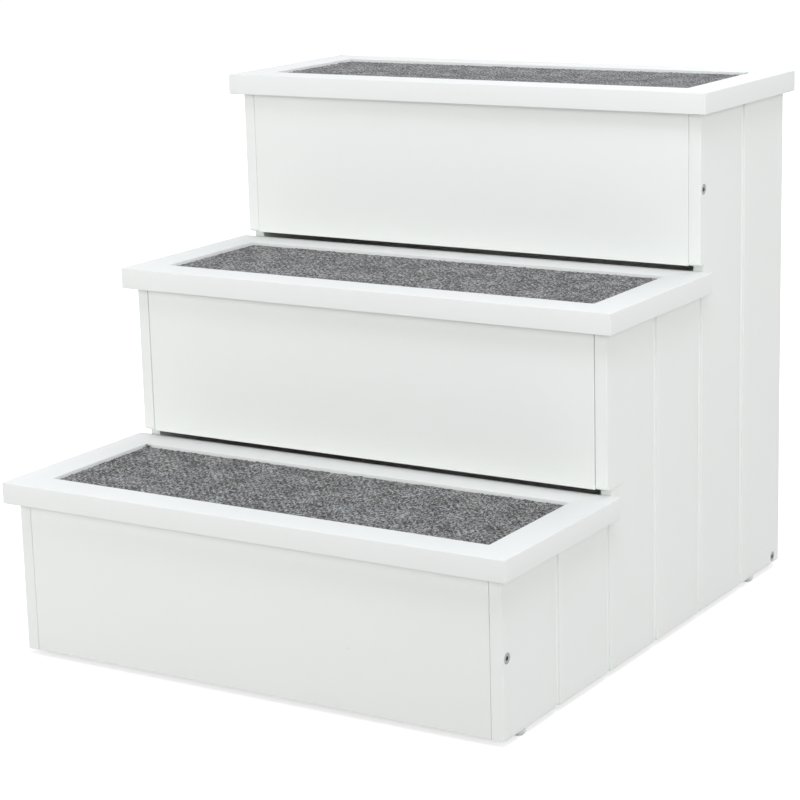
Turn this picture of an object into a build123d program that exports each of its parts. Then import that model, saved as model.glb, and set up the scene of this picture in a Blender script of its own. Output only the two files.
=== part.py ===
from build123d import *
import os

os.makedirs("parts", exist_ok=True)

# Three-step pet stairs of white lacquered MDF. Millimetres, +Z up, +Y from the front to the back.
# The origin is on the floor, under the centre of the bounding box.

# Steps
STEP_NAMES = ("lower", "middle", "upper")
OVERALL_HEIGHT = 380.0
RUN = 144.0

# Treads, three alike, with rounded corners and upper edges and chamfered lower edges
TREAD_LENGTH = 400.0
TREAD_DEPTH = 157.0
TREAD_THICKNESS = 15.0
FRONT_OVERHANG = 9.0
SIDE_OVERHANG = 7.5
TREAD_EDGE_RADIUS = 1.5
TREAD_UNDERSIDE_CHAMFER = 1.0

# Pocket in each tread and the carpet glued into it
POCKET_MARGIN = 25.0
POCKET_DEPTH = 4.5
POCKET_CORNER_RADIUS = 1.2
POCKET_RIM_CHAMFER = 0.5
CARPET_THICKNESS = 3.0
CARPET_CLEARANCE = 0.8

# Side panels, with grooves that make them look like upright boards
PANEL_THICKNESS = 9.0
BOARD_COUNT = 6
GROOVE_WIDTH = 6.0
GROOVE_DEPTH = 2.0
GROOVE_CORNER_RADIUS = 0.9
PANEL_EDGE_CHAMFER = 0.6
NOTCH_CLEARANCE = 3.0
NOTCH_LIP_RADIUS = 2.5

# Risers, three alike, from the height of the feet up to a tread
RISER_THICKNESS = 12.0
RISER_END_CLEARANCE = 0.15
RISER_EDGE_RADIUS = 0.3

# Rail across the bottom of the back, and the thin back panel that stands in its groove
RAIL_HEIGHT = 10.0
RAIL_DEPTH = 20.0
RAIL_SETBACK = 1.0
RAIL_EDGE_RADIUS = 0.5
BACK_THICKNESS = 3.0
BACK_SETBACK = 4.0
BACK_GROOVE_DEPTH = 4.0
BACK_CLEARANCE = 0.2

# Cleats under the ends of each tread
CLEAT_SIZE = 18.0
CLEAT_END_GAP = 11.0
CLEAT_EDGE_CHAMFER = 1.0

# Screws through the side panels, with a hexagon socket
SCREW_SHANK_RADIUS = 2.0
SCREW_HEAD_RADIUS = 3.8
SCREW_LENGTH = 40.0
SCREW_SINK = 0.2
SOCKET_WIDTH = 3.0
SOCKET_DEPTH = 2.0

# Flat wooden tongues between the risers and the side panels, two at each end
TONGUE_THICKNESS = 4.0
TONGUE_WIDTH = 24.0
TONGUE_LENGTH = 20.0
TONGUE_IN_PANEL = 5.0
TONGUE_END_DISTANCE = 26.0

# Plastic glides under the side panels
FOOT_HEIGHT = 4.0
FOOT_RADIUS = 5.0
FOOT_SOLE_RADIUS = 3.4
FOOT_BRIM = 1.4
FRONT_FOOT_DISTANCE = 26.0
REAR_FOOT_DISTANCE = 50.0

# Clearance on every side of a screw or tongue in its hole, and room past its end
HOLE_CLEARANCE = 0.1
TIP_CLEARANCE = 0.6

# Derived sizes
STEP_COUNT = len(STEP_NAMES)
LAST_STEP = STEP_COUNT - 1
SCREWED_STEPS = (0, LAST_STEP)
RISE = OVERALL_HEIGHT / STEP_COUNT
PANEL_DEPTH = STEP_COUNT * RUN
OVERALL_DEPTH = LAST_STEP * RUN + TREAD_DEPTH
BODY_FRONT = FRONT_OVERHANG - OVERALL_DEPTH / 2
BODY_REAR = BODY_FRONT + PANEL_DEPTH
OUTER_X = TREAD_LENGTH / 2 - SIDE_OVERHANG
INNER_X = OUTER_X - PANEL_THICKNESS
PANEL_MIDDLE_X = (OUTER_X + INNER_X) / 2
NOTCH_DEPTH = TREAD_DEPTH - FRONT_OVERHANG - RUN + NOTCH_CLEARANCE
RISER_HEIGHT = RISE - TREAD_THICKNESS - FOOT_HEIGHT
RISER_LENGTH = 2 * (INNER_X - RISER_END_CLEARANCE)
RAIL_MIDDLE_Y = BODY_REAR - RAIL_SETBACK - RAIL_DEPTH / 2
RAIL_TOP = FOOT_HEIGHT + RAIL_HEIGHT
RAIL_SCREW_PLACE = (RAIL_MIDDLE_Y, FOOT_HEIGHT + RAIL_HEIGHT / 2)
BACK_MIDDLE_Y = BODY_REAR - BACK_SETBACK - BACK_THICKNESS / 2
BACK_BOTTOM = RAIL_TOP - BACK_GROOVE_DEPTH
BACK_GROOVE_WIDTH = BACK_THICKNESS + 2 * BACK_CLEARANCE
CLEAT_LENGTH = RUN - RISER_THICKNESS - 2 * CLEAT_END_GAP
CLEAT_MIDDLE_X = INNER_X - CLEAT_SIZE / 2
POCKET_LENGTH = TREAD_LENGTH - 2 * POCKET_MARGIN
POCKET_WIDTH = TREAD_DEPTH - 2 * POCKET_MARGIN
FOOT_DEPTHS = {"front": BODY_FRONT + FRONT_FOOT_DISTANCE, "rear": BODY_REAR - REAR_FOOT_DISTANCE}


# Heights and depths that the pieces share

def riser_plane(step):
    """Depth of the front face of a riser."""
    return BODY_FRONT + step * RUN


def tread_top(step):
    """Height of the top face of a tread."""
    return RISE * (step + 1)


def seat_height(step):
    """Height of the panel edge that a tread lies on."""
    return tread_top(step) - TREAD_THICKNESS


def riser_bottom(step):
    """Height of the lower edge of a riser, whose upper edge meets its tread."""
    return seat_height(step) - RISER_HEIGHT


def tread_middle(step):
    """Depth of the middle of a tread."""
    return riser_plane(step) - FRONT_OVERHANG + TREAD_DEPTH / 2


def cleat_middle(step):
    """Depth of the middle of a cleat, centred between the back of its riser and the next step."""
    return (riser_plane(step) + RISER_THICKNESS + riser_plane(step + 1)) / 2


def riser_screw_place(step):
    """Depth and height of the screw in the end of a riser."""
    return riser_plane(step) + RISER_THICKNESS / 2, riser_bottom(step) + RISER_HEIGHT / 2


def tongue_places(step):
    """Depth and heights of the middles of the two tongues in the end of a riser."""
    depth = riser_plane(step) + RISER_THICKNESS / 2
    low = riser_bottom(step) + TONGUE_END_DISTANCE
    high = riser_bottom(step) + RISER_HEIGHT - TONGUE_END_DISTANCE
    return [(depth, low), (depth, high)]


def facing(x, y, z, direction):
    """Plane at a point, with its normal along the direction."""
    return Plane(origin=(x, y, z), z_dir=direction)


def save_piece(piece, label):
    """Name a finished piece and write it."""
    piece.part.label = label
    export_step(piece.part, f"parts/{label}.step")


# Side panels

def groove_depths():
    """Depths of the grooves that divide a side panel into upright boards."""
    board = PANEL_DEPTH / BOARD_COUNT
    return [BODY_FRONT + board * number for number in range(1, BOARD_COUNT)]


def groove_top(depth):
    """A groove in line with a riser ends under the tread below; the others run to the top edge."""
    for step in range(1, STEP_COUNT):
        if abs(riser_plane(step) - depth) < GROOVE_WIDTH:
            return seat_height(step - 1)
    return OVERALL_HEIGHT


def panel_outline():
    """Stepped outline of a side panel, with a notch for the tail of each tread but the last."""
    points = [(BODY_FRONT, FOOT_HEIGHT)]
    for step in range(STEP_COUNT):
        points.append((riser_plane(step), seat_height(step)))
        if step < LAST_STEP:
            notch_wall = riser_plane(step + 1) + NOTCH_DEPTH
            points.append((notch_wall, seat_height(step)))
            points.append((notch_wall, riser_bottom(step + 1)))
            points.append((riser_plane(step + 1), riser_bottom(step + 1)))
    points.append((BODY_REAR, seat_height(LAST_STEP)))
    points.append((BODY_REAR, FOOT_HEIGHT))
    return points


def is_notch_lip(vertex):
    """True for the corner of the panel that hangs over the tail of a tread."""
    return any(
        abs(vertex.Y - riser_plane(step)) + abs(vertex.Z - riser_bottom(step)) < NOTCH_LIP_RADIUS
        for step in range(1, STEP_COUNT)
    )


with BuildPart() as side_panel_right:
    with BuildSketch(Plane.YZ.offset(INNER_X)) as panel_face:
        with BuildLine():
            Polyline(*panel_outline(), close=True)
        make_face()
    extrude(amount=PANEL_THICKNESS)
    lips = side_panel_right.edges().filter_by(Axis.X).filter_by(lambda e: is_notch_lip(e.vertices()[0]))
    fillet(lips, NOTCH_LIP_RADIUS)
    chamfer(side_panel_right.faces().sort_by(Axis.X)[-1].edges(), PANEL_EDGE_CHAMFER)
    # Grooves in the outer face
    for groove_depth in groove_depths():
        with BuildSketch(Plane.XY):
            with Locations((OUTER_X, groove_depth)):
                RectangleRounded(2 * GROOVE_DEPTH, GROOVE_WIDTH, GROOVE_CORNER_RADIUS)
        extrude(amount=groove_top(groove_depth), mode=Mode.SUBTRACT)
    # Groove for the back panel in the inner face, from the bottom of the rail's groove to the top
    with BuildSketch(Plane.XY.offset(BACK_BOTTOM)):
        with Locations((INNER_X, BACK_MIDDLE_Y)):
            Rectangle(2 * BACK_GROOVE_DEPTH, BACK_GROOVE_WIDTH)
    extrude(amount=OVERALL_HEIGHT, mode=Mode.SUBTRACT)
    # Countersunk holes for the screws into the risers and the rail
    screw_places = [riser_screw_place(step) for step in SCREWED_STEPS] + [RAIL_SCREW_PLACE]
    with Locations(*[facing(OUTER_X, y, z, (1, 0, 0)) for y, z in screw_places]):
        CounterSinkHole(SCREW_SHANK_RADIUS + HOLE_CLEARANCE,
                        SCREW_HEAD_RADIUS + SCREW_SINK + HOLE_CLEARANCE,
                        counter_sink_angle=90)
    # Slots for the tongues
    with BuildSketch(Plane.YZ.offset(INNER_X)):
        with Locations(*[place for step in range(STEP_COUNT) for place in tongue_places(step)]):
            Rectangle(TONGUE_THICKNESS + 2 * HOLE_CLEARANCE, TONGUE_WIDTH + 2 * HOLE_CLEARANCE)
    extrude(amount=TONGUE_IN_PANEL + TIP_CLEARANCE, mode=Mode.SUBTRACT)
save_piece(side_panel_right, "side_panel_right")

with BuildPart() as side_panel_left:
    mirror(side_panel_right.part, about=Plane.YZ)
save_piece(side_panel_left, "side_panel_left")


# Risers

def make_riser(step):
    """Upright board between the side panels, with slots for tongues and holes for screws in its ends."""
    with BuildPart() as riser:
        with BuildSketch(Plane.XY.offset(riser_bottom(step))):
            with Locations((0, riser_plane(step) + RISER_THICKNESS / 2)):
                Rectangle(RISER_LENGTH, RISER_THICKNESS)
        extrude(amount=RISER_HEIGHT)
        fillet(riser.faces().sort_by(Axis.Y)[0].edges(), RISER_EDGE_RADIUS)
        for side in (-1, 1):
            with BuildSketch(Plane.YZ.offset(side * RISER_LENGTH / 2)):
                with Locations(*tongue_places(step)):
                    Rectangle(TONGUE_THICKNESS + 2 * HOLE_CLEARANCE, TONGUE_WIDTH + 2 * HOLE_CLEARANCE)
            extrude(amount=-side * (TONGUE_LENGTH - TONGUE_IN_PANEL + TIP_CLEARANCE), mode=Mode.SUBTRACT)
            if step in SCREWED_STEPS:
                with Locations(facing(side * RISER_LENGTH / 2, *riser_screw_place(step), (side, 0, 0))):
                    Hole(SCREW_SHANK_RADIUS + HOLE_CLEARANCE,
                         depth=SCREW_LENGTH - PANEL_THICKNESS + TIP_CLEARANCE)
    return riser


for step, step_name in enumerate(STEP_NAMES):
    save_piece(make_riser(step), f"riser_{step_name}")


# Treads and carpets

def make_tread(step):
    """Board that lies across the panels, its edges rounded and a shallow pocket in its top."""
    with BuildPart() as tread:
        with BuildSketch(Plane.XY.offset(seat_height(step))):
            with Locations((0, tread_middle(step))):
                Rectangle(TREAD_LENGTH, TREAD_DEPTH)
        extrude(amount=TREAD_THICKNESS)
        fillet(tread.edges() - tread.faces().sort_by(Axis.Z)[0].edges(), TREAD_EDGE_RADIUS)
        chamfer(tread.faces().sort_by(Axis.Z)[0].edges(), TREAD_UNDERSIDE_CHAMFER)
        with BuildSketch(Plane.XY.offset(tread_top(step))):
            with Locations((0, tread_middle(step))):
                RectangleRounded(POCKET_LENGTH, POCKET_WIDTH, POCKET_CORNER_RADIUS)
        extrude(amount=-POCKET_DEPTH, mode=Mode.SUBTRACT)
        rim = tread.faces().filter_by(Axis.Z).sort_by(Axis.Z)[-1].inner_wires().edges()
        chamfer(rim, POCKET_RIM_CHAMFER)
    return tread


def make_carpet(step):
    """Felt carpet that lies on the floor of the pocket, a little below its rim."""
    with BuildPart() as carpet:
        with BuildSketch(Plane.XY.offset(tread_top(step) - POCKET_DEPTH)):
            with Locations((0, tread_middle(step))):
                RectangleRounded(POCKET_LENGTH - 2 * CARPET_CLEARANCE, POCKET_WIDTH - 2 * CARPET_CLEARANCE,
                                 POCKET_CORNER_RADIUS - CARPET_CLEARANCE)
        extrude(amount=CARPET_THICKNESS)
    return carpet


for step, step_name in enumerate(STEP_NAMES):
    save_piece(make_tread(step), f"tread_{step_name}")
    save_piece(make_carpet(step), f"carpet_{step_name}")


# Rail and back panel

with BuildPart() as rear_bottom_rail:
    with BuildSketch(Plane.XY.offset(FOOT_HEIGHT)):
        with Locations((0, RAIL_MIDDLE_Y)):
            Rectangle(RISER_LENGTH, RAIL_DEPTH)
    extrude(amount=RAIL_HEIGHT)
    fillet(rear_bottom_rail.edges().filter_by(Axis.X), RAIL_EDGE_RADIUS)
    with BuildSketch(Plane.XY.offset(RAIL_TOP)):
        with Locations((0, BACK_MIDDLE_Y)):
            Rectangle(RISER_LENGTH, BACK_GROOVE_WIDTH)
    extrude(amount=-BACK_GROOVE_DEPTH, mode=Mode.SUBTRACT)
    for side in (-1, 1):
        with Locations(facing(side * RISER_LENGTH / 2, *RAIL_SCREW_PLACE, (side, 0, 0))):
            Hole(SCREW_SHANK_RADIUS + HOLE_CLEARANCE, depth=SCREW_LENGTH - PANEL_THICKNESS + TIP_CLEARANCE)
save_piece(rear_bottom_rail, "rear_bottom_rail")

with BuildPart() as back_panel:
    with BuildSketch(Plane.XY.offset(BACK_BOTTOM)):
        with Locations((0, BACK_MIDDLE_Y)):
            Rectangle(2 * (INNER_X + BACK_GROOVE_DEPTH - BACK_CLEARANCE), BACK_THICKNESS)
    extrude(amount=seat_height(LAST_STEP) - BACK_CLEARANCE - BACK_BOTTOM)
save_piece(back_panel, "back_panel")


# Cleats

def make_cleat(step, side):
    """Square batten glued into the corner between a tread and a side panel."""
    with BuildPart() as cleat:
        with BuildSketch(Plane.XZ.offset(CLEAT_LENGTH / 2 - cleat_middle(step))):
            with Locations((side * CLEAT_MIDDLE_X, seat_height(step) - CLEAT_SIZE / 2)):
                Rectangle(CLEAT_SIZE, CLEAT_SIZE)
        extrude(amount=-CLEAT_LENGTH)
        free_edge = cleat.edges().filter_by(Axis.Y).sort_by(Axis.Z)[:2].sort_by(Axis.X)
        chamfer(free_edge[0] if side > 0 else free_edge[-1], CLEAT_EDGE_CHAMFER)
    return cleat


for step, step_name in enumerate(STEP_NAMES):
    save_piece(make_cleat(step, -1), f"tread_cleat_{step_name}_left")
    save_piece(make_cleat(step, 1), f"tread_cleat_{step_name}_right")


# Screws, made once along -Z and placed by the head

with BuildPart() as side_screw:
    with BuildSketch(Plane.XZ):
        with BuildLine():
            Polyline((0, 0), (SCREW_HEAD_RADIUS, 0), (SCREW_SHANK_RADIUS, SCREW_SHANK_RADIUS - SCREW_HEAD_RADIUS),
                     (SCREW_SHANK_RADIUS, SCREW_SINK - SCREW_LENGTH), (0, SCREW_SINK - SCREW_LENGTH), close=True)
        make_face()
    revolve(axis=Axis.Z)
    # Hexagon socket
    with BuildSketch(Plane.XY):
        RegularPolygon(SOCKET_WIDTH / 2, 6, major_radius=False)
    extrude(amount=-SOCKET_DEPTH, mode=Mode.SUBTRACT)

for label, (y, z) in zip(("riser_screws_lower", "riser_screws_upper", "rail_screws"), screw_places):
    with BuildPart() as side_screws:
        with Locations(*[facing(side * (OUTER_X - SCREW_SINK), y, z, (side, 0, 0)) for side in (-1, 1)]):
            add(side_screw.part)
    save_piece(side_screws, label)


# Tongues

for step, step_name in enumerate(STEP_NAMES):
    with BuildPart() as riser_tongues:
        for side in (-1, 1):
            with BuildSketch(Plane.YZ.offset(side * (INNER_X + TONGUE_IN_PANEL))):
                with Locations(*tongue_places(step)):
                    Rectangle(TONGUE_THICKNESS, TONGUE_WIDTH)
            extrude(amount=-side * TONGUE_LENGTH)
    save_piece(riser_tongues, f"riser_tongues_{step_name}")


# Glides

def make_foot(x, y):
    """Plastic glide nailed under a panel: a disc that tapers to a flat sole."""
    with BuildPart() as foot:
        with BuildSketch(Plane(origin=(x, y, 0), x_dir=(1, 0, 0), z_dir=(0, -1, 0))):
            with BuildLine():
                Polyline((0, 0), (FOOT_SOLE_RADIUS, 0), (FOOT_RADIUS, FOOT_HEIGHT - FOOT_BRIM),
                         (FOOT_RADIUS, FOOT_HEIGHT), (0, FOOT_HEIGHT), close=True)
            make_face()
        revolve(axis=Axis((x, y, 0), (0, 0, 1)))
    return foot


for end, y in FOOT_DEPTHS.items():
    save_piece(make_foot(-PANEL_MIDDLE_X, y), f"glide_foot_{end}_left")
    save_piece(make_foot(PANEL_MIDDLE_X, y), f"glide_foot_{end}_right")
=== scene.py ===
# %% [markdown]
# # Pet stairs, dressed around their CAD model
#
# The stairs are white lacquered board, with a grey felt carpet let into each tread. The CAD model already
# has every size and place. This lesson gives each visible piece the shape and the finish that the eye
# expects: softly rounded lacquered edges, moulded grooves, turned screw heads, and felt that is a little
# uneven. We start by loading the model, which stays as it is, and by a helper that reads the box of each
# piece.

# %% Load the frame
import math

import bpy
import numpy as np
from mathutils import Matrix, Vector


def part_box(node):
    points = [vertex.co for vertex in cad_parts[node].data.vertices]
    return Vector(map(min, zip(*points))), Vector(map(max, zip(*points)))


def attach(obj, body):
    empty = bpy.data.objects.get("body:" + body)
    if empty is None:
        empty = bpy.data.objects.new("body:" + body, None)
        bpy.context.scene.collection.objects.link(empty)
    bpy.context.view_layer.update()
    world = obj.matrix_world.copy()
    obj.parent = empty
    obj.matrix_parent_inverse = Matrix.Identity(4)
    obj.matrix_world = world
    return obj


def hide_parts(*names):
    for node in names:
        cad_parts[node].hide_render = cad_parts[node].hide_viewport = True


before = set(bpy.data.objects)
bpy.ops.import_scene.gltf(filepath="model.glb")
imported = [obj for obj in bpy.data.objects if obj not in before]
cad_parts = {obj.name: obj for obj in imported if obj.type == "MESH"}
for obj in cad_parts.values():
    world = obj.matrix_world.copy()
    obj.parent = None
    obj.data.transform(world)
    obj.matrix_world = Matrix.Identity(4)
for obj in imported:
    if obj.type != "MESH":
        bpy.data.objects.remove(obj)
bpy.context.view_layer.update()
MM = 0.001
STEPS = ("lower", "middle", "upper")


def box_of(node):
    """Lowest and highest corner of a CAD piece, as two numpy rows in metres."""
    low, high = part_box(node)
    return np.array(low), np.array(high)


# %% [markdown]
# ## Camera
#
# A product picture of this kind is taken with a long lens from a little above, so upright lines stay nearly
# upright. The camera's frame is built from three directions: right, up and back, the last from the object
# to the lens. The small roll is the tilt of the hand or the tripod.

# %% Camera
LENS_PLACE = (0.89505, -1.44643, 0.56757)
AZIMUTH, ELEVATION, ROLL = (math.radians(angle) for angle in (32.072, 13.534, -1.523))
LENS_MM, SENSOR_MM = 108.69, 36.0

back = np.array([math.sin(AZIMUTH) * math.cos(ELEVATION), -math.cos(AZIMUTH) * math.cos(ELEVATION),
                 math.sin(ELEVATION)])
level_right = np.array([math.cos(AZIMUTH), math.sin(AZIMUTH), 0.0])
level_up = np.cross(back, level_right)
right = math.cos(ROLL) * level_right + math.sin(ROLL) * level_up
up = math.cos(ROLL) * level_up - math.sin(ROLL) * level_right

lens = bpy.data.cameras.new("picture_camera")
lens.sensor_fit, lens.sensor_width, lens.lens = "HORIZONTAL", SENSOR_MM, LENS_MM
lens.clip_start, lens.clip_end = 0.05, 60.0
camera = bpy.data.objects.new("picture_camera", lens)
pose = np.eye(4)
pose[:3, :3] = np.stack([right, up, back], axis=1)
pose[:3, 3] = LENS_PLACE
camera.matrix_world = Matrix(pose.tolist())
bpy.context.scene.collection.objects.link(camera)
bpy.context.scene.camera = camera
print("camera looks along", (-back).round(3))

# %% [markdown]
# ## Meshes from arrays
#
# Every new piece is a grid of points worked out at once with numpy: rows follow a profile, columns go round
# the piece. Because neighbouring points share a cell, the faces are only a matter of counting. Flat ends
# are closed with one face each.

# %% Mesh helpers
SHARP_ANGLE = math.radians(38)


def cell_corners(number):
    """The four corner numbers of each cell of a grid of numbered points, in order round the cell."""
    return np.stack([number[:-1, :-1], number[:-1, 1:], number[1:, 1:], number[1:, :-1]], axis=-1)


def cells(rows, columns, wrap=False):
    """The cells of a grid whose points are numbered row by row; wrap joins the ends of its rows."""
    number = np.arange(rows * columns).reshape(rows, columns)
    if wrap:
        number = np.hstack([number, number[:, :1]])
    return cell_corners(number).reshape(-1, 4)


def add_piece(name, points, faces):
    """A mesh object at the origin with smooth shading, kept crisp where faces meet at a sharp angle."""
    mesh = bpy.data.meshes.new(name)
    mesh.from_pydata(np.asarray(points).reshape(-1, 3).tolist(), [], faces)
    mesh.shade_smooth()
    mesh.set_sharp_from_angle(angle=SHARP_ANGLE)
    piece = bpy.data.objects.new(name, mesh)
    bpy.context.scene.collection.objects.link(piece)
    print(f"{name}: {len(mesh.vertices)} points, {len(mesh.polygons)} faces")
    return piece


def closed_stack(rings):
    """Faces of a stack of rings, row by row from the bottom ring to the last, with both ends closed."""
    rows, columns = rings.shape[:2]
    faces = cells(rows, columns, wrap=True).tolist()
    faces.append(np.arange(columns)[::-1].tolist())
    faces.append((np.arange(columns) + (rows - 1) * columns).tolist())
    return faces


def dress(piece, finish, slot, *nodes):
    """Gives a new piece its finish and body, and hides the CAD pieces that it stands for. Its slot is not
    used.
    """
    piece.data.materials.append(finish)
    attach(piece, "root")
    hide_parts(*nodes)
    return piece


print("edges sharper than", round(math.degrees(SHARP_ANGLE)), "degrees stay crisp")

# %% [markdown]
# ## Shader maths as plain expressions
#
# A material is a small program. Written as nodes by hand it is hard to read, so one class wraps an output
# socket and lets us write sums and products of it. A second class holds the node tree, and one method of it
# adds any other node: its type, then its settings, then the values or links of its sockets.

# %% Signals and node trees
# Sockets A, B and Result of a Mix node for colours; their names are shared with its other forms.
MIX_FIRST, MIX_SECOND, MIX_RESULT = 6, 7, 2
SEEN_RAYS = ("Is Camera Ray", "Is Glossy Ray", "Is Transmission Ray")


class Signal:
    """An output socket that takes part in arithmetic; each operator adds one Math node."""

    def __init__(self, graph, socket):
        self.graph, self.socket = graph, socket

    def _math(self, operation, first, second):
        return self.graph.node("ShaderNodeMath", {"operation": operation}, {0: first, 1: second})

    def __add__(self, other):
        return self._math("ADD", self, other)

    def __radd__(self, other):
        return self._math("ADD", other, self)

    def __sub__(self, other):
        return self._math("SUBTRACT", self, other)

    def __rsub__(self, other):
        return self._math("SUBTRACT", other, self)

    def __mul__(self, other):
        return self._math("MULTIPLY", self, other)

    def __rmul__(self, other):
        return self._math("MULTIPLY", other, self)

    def __lt__(self, other):
        return self._math("LESS_THAN", self, other)


class Graph:
    """A node tree under construction, of a material or of the world."""

    def __init__(self, tree):
        self.tree = tree

    def feed(self, socket, value):
        """Links a signal to a socket, or sets the socket's own value."""
        if isinstance(value, Signal):
            self.tree.links.new(value.socket, socket)
        else:
            socket.default_value = value

    def node(self, kind, settings=None, sockets=None, output=0):
        """Adds one node of a type, makes its settings, fills its sockets and returns one output."""
        made = self.tree.nodes.new(kind)
        for key, value in (settings or {}).items():
            if key == "stops":
                ramp = made.color_ramp.elements
                for number, (position, colour) in enumerate(value):
                    stop = ramp[number] if number < 2 else ramp.new(position)
                    stop.position, stop.color = position, colour
            else:
                setattr(made, key, value)
        for key, value in (sockets or {}).items():
            self.feed(made.inputs[key], value)
        return Signal(self, made.outputs[output])

    def blend(self, factor, first, second, mode="MIX"):
        """Colour between two colours, or the second worked into the first by another mode."""
        return self.node("ShaderNodeMix", {"data_type": "RGBA", "blend_type": mode},
                         {"Factor": factor, MIX_FIRST: first, MIX_SECOND: second}, MIX_RESULT)

    def between(self, signal, low, high):
        """Signal limited and stretched, so that low becomes 0 and high becomes 1."""
        return self.node("ShaderNodeMapRange", {"interpolation_type": "SMOOTHSTEP"},
                         {"Value": signal, "From Min": low, "From Max": high})

    def seen(self):
        """1 for rays straight from the camera, from a glossy surface or through a clear one, else 0."""
        straight, glossy, clear = (self.node("ShaderNodeLightPath", output=name) for name in SEEN_RAYS)
        return self.node("ShaderNodeMath", {"operation": "ADD", "use_clamp": True},
                         {0: straight, 1: glossy + clear})


print("rays that see the white surroundings:", ", ".join(SEEN_RAYS))

# %% [markdown]
# A finish is a node tree with a material round it. Its patterns are read from the object's own coordinates in
# metres, so a scale is simply a number of features per metre, the same on every piece.

# %% Finishes and whites
class Finish(Graph):
    """A material under construction, with its node tree and its shader."""

    def __init__(self, name):
        self.material = bpy.data.materials.new(name)
        self.material.use_nodes = True
        super().__init__(self.material.node_tree)
        self.shader = self.tree.nodes["Principled BSDF"]
        self.place = self.node("ShaderNodeTexCoord", output="Object")

    def noise(self, scale, detail=2.0, roughness=0.5, stretch=(1.0, 1.0, 1.0)):
        """Smooth noise of about 0 to 1 with that many features per metre, stretched along the axes."""
        place = self.node("ShaderNodeMapping", None, {"Vector": self.place, "Scale": stretch})
        return self.node("ShaderNodeTexNoise", None, {"Vector": place, "Scale": scale, "Detail": detail,
                                                      "Roughness": roughness}, "Fac")

    def spots(self, scale):
        """Distance to the nearest of many scattered points, with about that many of them per metre."""
        return self.node("ShaderNodeTexVoronoi", None, {"Vector": self.place, "Scale": scale,
                                                        "Randomness": 1.0}, "Distance")

    def bump(self, height, depth):
        """Leads a height of 0 to 1 to the shader's normal, with its depth in metres."""
        normal = self.node("ShaderNodeBump", None, {"Height": height, "Distance": depth, "Strength": 1.0})
        self.feed(self.shader.inputs["Normal"], normal)

    def shade(self, **sockets):
        """Fills sockets of the shader, named with underscores for spaces."""
        for key, value in sockets.items():
            self.feed(self.shader.inputs[key.replace("_", " ")], value)
        return self.material


def grey(value, warm=0.0):
    """An opaque, nearly neutral colour; warm shifts it from blue towards red."""
    return (value * (1 + warm), value, value * (1 - warm), 1.0)


def off_white(value, blue):
    """White paint that leans very slightly towards green, with its own share of blue."""
    return (value * 0.978, value * 1.004, value * blue, 1.0)


print("a white of 0.8:", [round(part, 3) for part in off_white(0.8, blue=0.985)])

# %% [markdown]
# ## White lacquer
#
# Sprayed lacquer on fibreboard is satin, not mirror-like, and never quite flat: a fine orange peel from the
# spray, slow changes of tone across a board, a few dust nibs caught while it dried. The tone and the
# roughness move by a few percent only, which is what tells paint from plastic.

# %% White lacquer
# The treads get their own copy of the same lacquer, a little darker and a touch bluer than the boards': the
# darkening is painted shade and the blue is a painted tint of the cool overhead light.
TREAD_SHADED_TONE, BOARD_TONE, TONE_SPREAD = 0.783, 0.80, 0.015
TREAD_COOL_TINT_BLUE, BOARD_BLUE = 0.988, 0.985
NIB_COLOUR = grey(0.28, 0.03)
PEEL_DEPTH = 0.035 * MM


def white_lacquer(name, tone, blue, nibs):
    """Satin white paint: a slow mottle in tone, orange peel in the bump and, with nibs, rare dark specks."""
    finish = Finish(name)
    mottle = finish.noise(9.0, detail=3.0)
    grain = finish.noise(420.0, detail=3.0, roughness=0.6)
    peel = finish.noise(310.0, detail=1.0)
    colour = finish.blend(mottle * 0.7 + grain * 0.3, off_white(tone * (1 - TONE_SPREAD), blue),
                          off_white(tone * (1 + TONE_SPREAD), blue))
    if nibs:
        size = finish.noise(23.0) * 0.012 + 0.003
        colour = finish.blend((finish.spots(17.0) < size) * 0.35, colour, NIB_COLOUR)
    finish.bump(peel * 0.8 + grain * 0.2, PEEL_DEPTH)
    return finish.shade(Base_Color=colour, Roughness=0.48 + grain * 0.10 + mottle * 0.05,
                        Specular_IOR_Level=0.15)


# The treads' copy is darker and a touch bluer: painted shade and a painted tint of the cool overhead light.
shaded_tread_lacquer = white_lacquer("white_lacquer_tread_shaded", TREAD_SHADED_TONE, TREAD_COOL_TINT_BLUE, nibs=False)
board_lacquer = white_lacquer("white_lacquer_board", BOARD_TONE, BOARD_BLUE, nibs=True)
print("lacquers:", shaded_tread_lacquer.name, board_lacquer.name)

# %% [markdown]
# ## Boards with rounded edges
#
# A board is a stack of rounded rectangles. Each ring lies at some inset from the outline and at some height,
# so a profile of insets and heights describes the whole edge. A quarter arc at the bottom and one at the top
# give the sanded edges that catch the light.

# %% Rings and edge profiles
CORNER_POINTS, SIDE_POINTS = 7, 12


def arc(centre, radius, start, stop, steps=7):
    """Profile points (inset, height) on an arc about a centre, from one angle in degrees to another."""
    angle = np.radians(np.linspace(start, stop, steps))
    return np.stack([centre[0] + radius * np.cos(angle), centre[1] + radius * np.sin(angle)], axis=1)


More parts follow.
